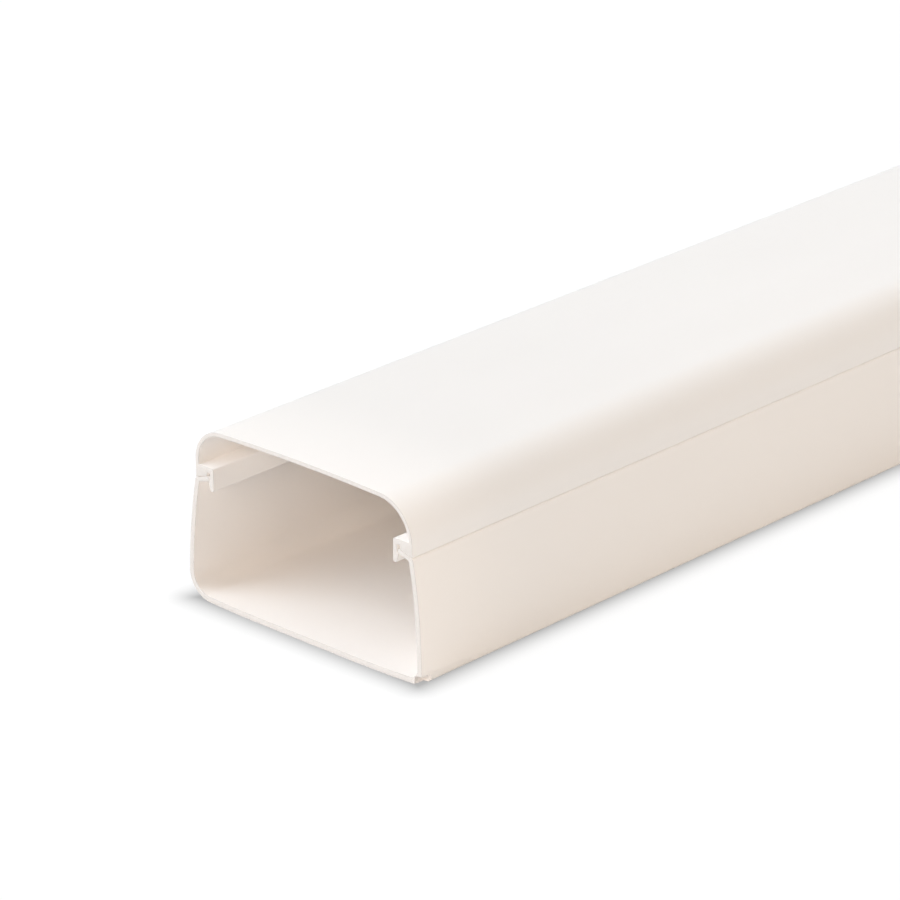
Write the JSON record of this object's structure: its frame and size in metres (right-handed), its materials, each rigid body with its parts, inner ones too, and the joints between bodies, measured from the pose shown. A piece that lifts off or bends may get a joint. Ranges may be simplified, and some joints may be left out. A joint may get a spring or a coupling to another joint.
{
  "type": "cable raceway",
  "caption": "Plastic cable raceway in stock length: an open base channel with leaning side walls and a rounded cover that snaps onto its inward flanges.",
  "frame": {"origin": "on the mounting face under the floor, in the middle of the width and of the length", "axes": "+X across the raceway, +Y along its length, +Z from the mounting face to the cover"},
  "size_m": [0.1, 1, 0.0599],
  "materials": {
    "base_pvc": "satin extruded rigid PVC, warm white",
    "cover_pvc": "satin extruded rigid PVC, warm white"
  },
  "bodies": {
    "base": {"base_channel": "base_pvc"},
    "cover": {"snap_cover": "cover_pvc"}
  },
  "joints": [
    {"name": "cover_slide", "type": "slide", "parent": "base", "child": "cover", "axis": [0, 1, 0], "range_m": [0, 1]}
  ]
}
